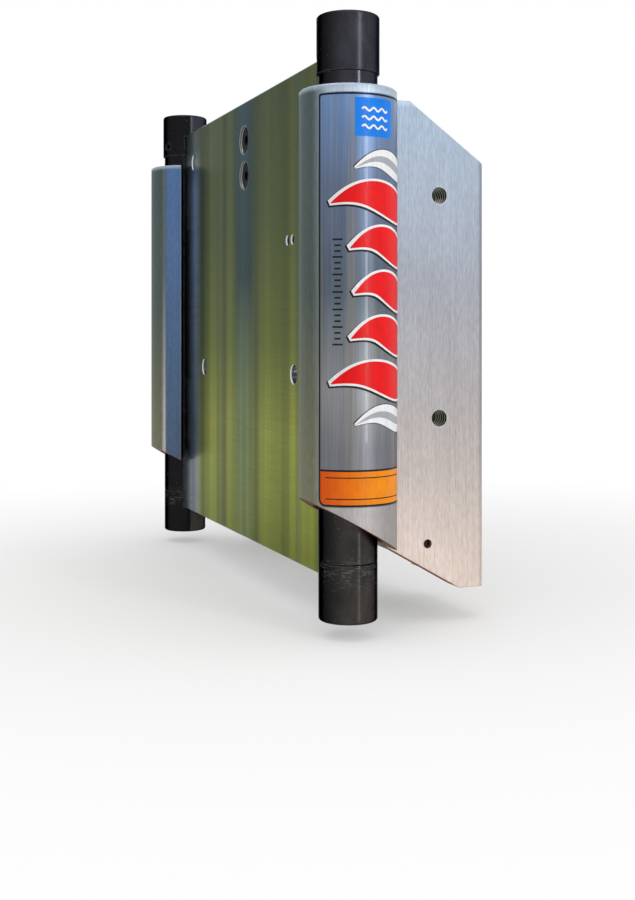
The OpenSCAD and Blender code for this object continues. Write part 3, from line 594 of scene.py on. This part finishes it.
# Orange band at the foot, with two thin stripes
BAND_TOP = -0.1822
STRIPE_INSET = 0.006
STRIPE_WIDTH = 0.0007
UPPER_STRIPE_DROP = 0.0045
LOWER_STRIPE_RISE = 0.0055

# Blue square, as left, foot, right and top, and its wave lines
SQUARE = (math.radians(-14.8) * TUBE_R, 0.0478, math.radians(36) * TUBE_R, 0.0744)
SQUARE_CORNER = 0.0008
SWELL_HEIGHTS = (0.0545, 0.0605, 0.0665)
SWELL_INSET = 0.005
SWELL_LENGTH = 0.021
SWELL_RISE = 0.0012
SWELL_HALF_WIDTH = 0.0007
SWELL_WAVES = 3
SWELL_STEPS = 20

# Red and pale waves: heights, starts and ends around the tube, shapes and outlines
RED_HEIGHTS = (0.0020, -0.0290, -0.0600, -0.0910, -0.1220)
RED_STARTS = (-42, -20, -15, -19, -42)
PALE_HEIGHTS = (0.0260, -0.1500)
PALE_START = math.radians(-14) * TUBE_R
WAVE_END = math.radians(64) * TUBE_R
RED_SHAPE = {"rise": 0.0052, "slope": 0.0040, "widest": 0.0112}
PALE_SHAPE = {"rise": 0.0046, "slope": 0.0060, "widest": 0.0078}
WAVE_POINTS = 28
WAVE_CREST_TURN = 1.5 * math.pi
WAVE_TIP_SHARE = 0.01
WAVE_WIDTH_SHARE = 0.66
PALE_RIM = 0.0011
PALE_FILL = 0.0006
PALE_SHADE_SHARE = 0.35
RED_SHADOW = 0.0020
RED_SHADOW_SHIFT = (-0.0007, -0.0009)
RED_RIM = 0.0016

# Ticks of the scale
TICK_MIDDLE = math.radians(-34.5) * TUBE_R
TICK_TOP = -0.0230
TICK_STEP = 0.0040
TICK_COUNT = 19
LONG_TICK_EVERY = 3
LONG_TICK_HALF = 0.0036
SHORT_TICK_HALF = 0.0022
TICK_HALF_HEIGHT = 0.0006

# How the flat shapes become thin sheets around the tube
FACET = 0.0012
LAYER = 0.00004
SHEET_UNDERSIDE = 0.00002
WELD = 0.000002
SHARP_EDGE = math.radians(30)
CORNER_STEPS = 6


def box_outline(left, foot, right, top):
    """Outline of a rectangle."""
    return [(left, foot), (right, foot), (right, top), (left, top)]


def rounded_outline(left, foot, right, top, corners):
    """Outline of a rectangle whose corners, from the lower left anticlockwise, have the given radii."""
    centres = ((left, foot, 180), (right, foot, 270), (right, top, 0), (left, top, 90))
    inwards = ((1, 1), (-1, 1), (-1, -1), (1, -1))
    outline = []
    for (s, z, start), (side_s, side_z), radius in zip(centres, inwards, corners):
        for step in range(CORNER_STEPS + 1):
            turn = math.radians(start + 90 * step / CORNER_STEPS)
            outline.append((s + side_s * radius + radius * math.cos(turn),
                            z + side_z * radius + radius * math.sin(turn)))
    return outline


def decal_outline(inset):
    """Outline of the decal, drawn in by inset."""
    corners = (SLANT_CORNER - inset, SMALL_CORNER, SMALL_CORNER, SMALL_CORNER)
    return rounded_outline(DECAL_LEFT + inset, DECAL_FOOT + inset,
                           DECAL_RIGHT - inset, DECAL_TOP - inset, corners)


def ring(outer, inner):
    """Quads between two outlines with as many points."""
    count = len(outer)
    return [[outer[i], outer[(i + 1) % count], inner[(i + 1) % count], inner[i]] for i in range(count)]


def ribbon(centre, half_widths):
    """Quads of a band that follows a centre line, with its half width at each point."""
    sides = []
    for i, ((s, z), half) in enumerate(zip(centre, half_widths)):
        before, after = centre[max(i - 1, 0)], centre[min(i + 1, len(centre) - 1)]
        along = Vector((after[0] - before[0], after[1] - before[1])).normalized()
        sides.append(((s - along.y * half, z + along.x * half), (s + along.y * half, z - along.x * half)))
    return [[a[0], a[1], b[1], b[0]] for a, b in zip(sides, sides[1:])]


def wave(z, start, rise, slope, widest, grow=0.0, shift=(0.0, 0.0)):
    """Ribbon of one wave around the tube: thin where it starts, widest near its end, grown by an outline."""
    centre, half_widths = [], []
    length = WAVE_END - start
    for i in range(WAVE_POINTS):
        share = i / (WAVE_POINTS - 1)
        s = start - grow * (1 - share) + (length + grow) * share
        crest = z + rise * math.sin(share * WAVE_CREST_TURN) + slope * share
        centre.append((s + shift[0], crest + shift[1]))
        half_widths.append(widest * math.sin(math.pi * (WAVE_TIP_SHARE + WAVE_WIDTH_SHARE * share)) + grow)
    return ribbon(centre, half_widths)


def red_waves(grow, shift=(0.0, 0.0)):
    """Quads of the red waves, grown by an outline and shifted."""
    quads = []
    for z, start in zip(RED_HEIGHTS, RED_STARTS):
        quads += wave(z, math.radians(start) * TUBE_R, grow=grow, shift=shift, **RED_SHAPE)
    return quads


def pale_waves(grow, thinner=1.0):
    """Quads of the pale waves, grown by an outline or made thinner."""
    shape = dict(PALE_SHAPE, widest=PALE_SHAPE["widest"] * thinner)
    quads = []
    for z in PALE_HEIGHTS:
        quads += wave(z, PALE_START, grow=grow, **shape)
    return quads


def square_waves():
    """Quads of the wave lines in the blue square."""
    quads = []
    for z in SWELL_HEIGHTS:
        centre = []
        for step in range(SWELL_STEPS + 1):
            share = step / SWELL_STEPS
            crest = SWELL_RISE * math.sin(share * SWELL_WAVES * math.tau)
            centre.append((SQUARE[0] + SWELL_INSET + SWELL_LENGTH * share, z + crest))
        quads += ribbon(centre, [SWELL_HALF_WIDTH] * len(centre))
    return quads


def band_stripes():
    """Upper border of the orange band, and its two stripes."""
    stripes = [box_outline(DECAL_LEFT + BORDER_INNER, BAND_TOP,
                           DECAL_RIGHT - BORDER_INNER, BAND_TOP + BORDER_WIDTH)]
    for z in (BAND_TOP - UPPER_STRIPE_DROP, DECAL_FOOT + LOWER_STRIPE_RISE):
        stripes.append(box_outline(DECAL_LEFT + STRIPE_INSET, z,
                                   DECAL_RIGHT - STRIPE_INSET, z + STRIPE_WIDTH))
    return stripes


def scale_ticks():
    """Ticks of the scale, of which every third is long."""
    ticks = []
    for index in range(TICK_COUNT):
        half = SHORT_TICK_HALF if index % LONG_TICK_EVERY else LONG_TICK_HALF
        z = TICK_TOP - TICK_STEP * index
        ticks.append(box_outline(TICK_MIDDLE - half, z - TICK_HALF_HEIGHT,
                                 TICK_MIDDLE + half, z + TICK_HALF_HEIGHT))
    return ticks


def settle(shape):
    """Puts a mesh's points and faces in an order that is the same in each run."""
    points = sorted(shape.verts, key=lambda vert: tuple(vert.co))
    for rank, vert in enumerate(points):
        vert.index = rank
    shape.verts.sort()
    faces = sorted(shape.faces, key=lambda face: sorted(vert.index for vert in face.verts))
    for rank, face in enumerate(faces):
        face.index = rank
    shape.faces.sort()


def sheet(name, polygons, layers, material):
    """Thin printed layer of the decal, so many layers high: flat polygons cut into narrow facets and wrapped
    around the tube."""
    shape = bmesh.new()
    for polygon in polygons:
        shape.faces.new([shape.verts.new((s, SHEET_UNDERSIDE, z)) for s, z in polygon])
    bmesh.ops.remove_doubles(shape, verts=shape.verts, dist=WELD)
    bmesh.ops.triangulate(shape, faces=shape.faces)
    low = min(vert.co.x for vert in shape.verts)
    high = max(vert.co.x for vert in shape.verts)
    for step in range(math.floor(low / FACET) + 1, math.ceil(high / FACET)):
        everything = shape.verts[:] + shape.edges[:] + shape.faces[:]
        bmesh.ops.bisect_plane(shape, geom=everything, plane_co=(step * FACET, 0, 0), plane_no=(1, 0, 0))
    raised = bmesh.ops.extrude_face_region(shape, geom=shape.faces[:])["geom"]
    for vert in raised:
        if isinstance(vert, bmesh.types.BMVert):
            vert.co.y = layers * LAYER
    for vert in shape.verts:
        turn = vert.co.x / TUBE_R
        radius = TUBE_R + vert.co.y
        vert.co.x = ROD_X + radius * math.cos(turn)
        vert.co.y = ROD_Y + radius * math.sin(turn)
    bmesh.ops.recalc_face_normals(shape, faces=shape.faces)
    settle(shape)
    for face in shape.faces:
        face.smooth = True
    for edge in shape.edges:
        edge.smooth = edge.is_manifold and edge.calc_face_angle() < SHARP_EDGE
    mesh = bpy.data.meshes.new(name)
    shape.to_mesh(mesh)
    shape.free()
    mesh.materials.append(material)
    piece = bpy.data.objects.new(name, mesh)
    bpy.context.scene.collection.objects.link(piece)
    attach(piece, FIXED)


def decal():
    """The film and what is printed on it, each a little higher than what it covers."""
    black = printed("decal_black", linear(6, 6, 8))
    white = printed("decal_white", linear(250, 250, 252))
    pale = printed("decal_pale", linear(176, 180, 186))
    red = printed("decal_red", linear(244, 8, 16))
    blue = printed("decal_blue", linear(0, 132, 244))
    orange = printed("decal_orange", linear(236, 74, 4), linear(255, 150, 6))
    band = rounded_outline(DECAL_LEFT + BORDER_INNER, DECAL_FOOT + BORDER_INNER, DECAL_RIGHT - BORDER_INNER,
                           BAND_TOP, (SLANT_CORNER - BORDER_INNER, SMALL_CORNER, 0.0, 0.0))
    square = rounded_outline(*SQUARE, (SQUARE_CORNER,) * 4)

    sheet("decal_film", [decal_outline(0.0)], 2, brushed_film())
    sheet("decal_border", ring(decal_outline(BORDER_INSET), decal_outline(BORDER_INNER)), 4, black)
    sheet("decal_orange_band", [band], 3, orange)
    sheet("decal_band_stripes", band_stripes(), 4, black)
    sheet("decal_blue_square", [square], 3, blue)
    sheet("decal_square_waves", square_waves(), 4, white)
    sheet("decal_pale_waves_rim", pale_waves(PALE_RIM), 3, black)
    sheet("decal_pale_waves", pale_waves(PALE_FILL), 4, white)
    sheet("decal_pale_waves_shade", pale_waves(0.0, PALE_SHADE_SHARE), 5, pale)
    sheet("decal_red_waves_shadow", red_waves(RED_SHADOW, RED_SHADOW_SHIFT), 6, black)
    sheet("decal_red_waves_rim", red_waves(RED_RIM), 7, white)
    sheet("decal_red_waves", red_waves(0.0), 8, red)
    sheet("decal_scale_ticks", scale_ticks(), 4, black)


decal()


# Stage: pale floor under the lowest reach of the carriage that fades to white. Diffuse rays find it grey.
FLOOR_GAP = 0.0005
FLOOR_SIZE = 40.0
FLOOR_PALE = (0.93, 0.93, 0.93, 1.0)
FADE_START = 0.1
FADE_END = 0.8
LEAST_WHITE = 0.3
BOUNCE_GREY = (0.5, 0.5, 0.5, 1.0)


def floor_material():
    """Pale floor that keeps the shadow near the object and glows white further out."""
    g = Finish("floor", {"Base Color": FLOOR_PALE, "Roughness": 0.9, "Specular IOR Level": 0.1})
    reach = g.add("VectorMath", {0: g.place.outputs["Object"]}, "LENGTH").outputs["Value"]
    fade = g.remap(reach, FADE_START, FADE_END, LEAST_WHITE, 1.0, smooth=True)
    white = g.add("Emission", {"Color": WHITE}).outputs["Emission"]
    bounce = g.add("BsdfDiffuse", {"Color": BOUNCE_GREY}).outputs["BSDF"]
    shown = g.mix_shader(fade, g.shader.outputs["BSDF"], white)
    g.feed(g.tree.nodes["Material Output"], {"Surface": g.mix_shader(g.finds_white(), bounce, shown)})
    return g.material


bpy.ops.mesh.primitive_plane_add(size=FLOOR_SIZE, location=(0, 0, plug_low.z - TRAVEL_DOWN - FLOOR_GAP))
floor = bpy.context.object
floor.name = "floor"
floor.data.materials.append(floor_material())


# World: soft light that is brighter from starboard and forward than from port and aft. The camera's rays, and
# those mirrored or let through, find white instead.
LIGHT_FROM = (0.78, 0.52, 0.35)
LIGHT_SPREAD = 0.7
DIM_SIDE = 0.4
BRIGHT_SIDE = 0.8


def studio_world():
    """World with the soft light and the white background."""
    world = bpy.data.worlds.new("studio")
    bpy.context.scene.world = world
    world.use_nodes = True
    g = Graph(world.node_tree)
    facing = g.add("VectorMath", {0: g.place.outputs["Generated"], 1: LIGHT_FROM}, "DOT_PRODUCT")
    level = g.remap(facing.outputs["Value"], -LIGHT_SPREAD, LIGHT_SPREAD, DIM_SIDE, BRIGHT_SIDE, smooth=True)
    soft = g.feed(g.tree.nodes["Background"], {"Color": WHITE, "Strength": level})
    white = g.add("Background", {"Color": WHITE, "Strength": 1.0})
    surface = g.mix_shader(g.finds_white(), soft.outputs["Background"], white.outputs["Background"])
    g.feed(g.tree.nodes["World Output"], {"Surface": surface})


studio_world()


def softbox(name, place, target, width, height, brightness):
    """Rectangular lamp at place that faces target, with the brightness of its face."""
    light = bpy.data.lights.new(name, "AREA")
    light.shape = "RECTANGLE"
    light.size = width
    light.size_y = height
    light.energy = brightness * math.pi * width * height
    lamp = bpy.data.objects.new(name, light)
    bpy.context.scene.collection.objects.link(lamp)
    lamp.location = place
    lamp.rotation_euler = (Vector(target) - Vector(place)).to_track_quat("-Z", "Y").to_euler()


softbox("starboard_softbox", place=(1.75, 0.46, -0.05), target=(ROD_X, -0.08, -0.08),
        width=0.2, height=1.6, brightness=11.0)
softbox("top_softbox", place=(0.2, -0.3, 1.7), target=(0.0, -0.1, -0.08),
        width=1.6, height=1.6, brightness=1.2)

# Camera fitted to the outlines and bolt holes of the photograph
CAMERA_PLACE = (1.0322, -0.4572, -0.0885)
CAMERA_LOOK = (-0.93254, 0.36106, 0.0)
CAMERA_LENS = 49.43
CAMERA_SENSOR = 36.0
CAMERA_SHIFT = (0.0027, -0.1277)

camera_data = bpy.data.cameras.new("camera")
camera_data.lens = CAMERA_LENS
camera_data.sensor_width = CAMERA_SENSOR
camera_data.shift_x, camera_data.shift_y = CAMERA_SHIFT
camera = bpy.data.objects.new("camera", camera_data)
bpy.context.scene.collection.objects.link(camera)
camera.location = CAMERA_PLACE
camera.rotation_euler = Vector(CAMERA_LOOK).to_track_quat("-Z", "Y").to_euler()
bpy.context.scene.camera = camera

bpy.context.scene.view_settings.view_transform = "Standard"
